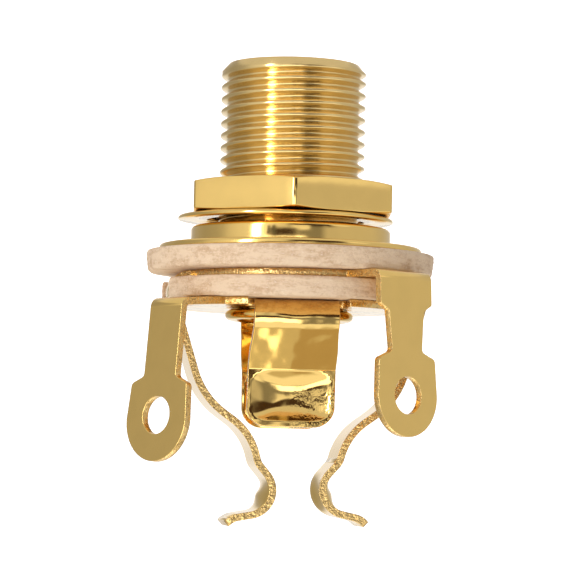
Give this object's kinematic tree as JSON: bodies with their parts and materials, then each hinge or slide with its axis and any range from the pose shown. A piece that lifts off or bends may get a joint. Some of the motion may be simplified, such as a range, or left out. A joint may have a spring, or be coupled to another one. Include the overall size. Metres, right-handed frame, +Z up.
{
  "type": "guitar jack socket",
  "caption": "Open-frame panel socket for a 6.35 mm plug: threaded bushing with nut, fibre washers, dished ground contacts, tip springs and solder lugs.",
  "frame": {"origin": "on the thread's axis, at the collar's top face, which seats on the inside of the panel", "axes": "+Z up along the thread, out of the panel's front; the two ground contacts at -Y and +Y, the two tip springs at -X and +X"},
  "size_m": [0.02, 0.0193, 0.0301],
  "materials": {
    "bushing_gold": "bright gold plate on turned brass",
    "nut_gold": "satin gold plate",
    "washer_gold": "bright gold plate",
    "plate_gold": "bright gold plate",
    "contact_gold": "gold plate on spring brass, with sheared edges",
    "fibre": "tan vulcanised fibre, sanded-looking edge"
  },
  "bodies": {
    "socket": {"threaded_bushing": "bushing_gold", "base_plate": "plate_gold", "upper_fibre_washer": "fibre", "tip_contact": "contact_gold", "lower_fibre_washer": "fibre", "ground_contact": "contact_gold", "insulating_sleeve": "fibre"},
    "washer": {"flat_washer": "washer_gold"},
    "nut": {"hex_nut": "nut_gold"}
  },
  "joints": [
    {"name": "nut_travel", "type": "slide", "parent": "socket", "child": "washer", "axis": [0, 0, 1], "range_m": [-0.00037, 0.00714]},
    {"name": "nut_turn", "type": "hinge", "parent": "washer", "child": "nut", "pos_m": [0, 0, 0.0019], "axis": [0, 0, 1], "range_deg": [-170, 3240]}
  ],
  "couplings": [
    {"joint": "nut_turn", "follows": "nut_travel", "rad_per_m": 7915.8}
  ]
}
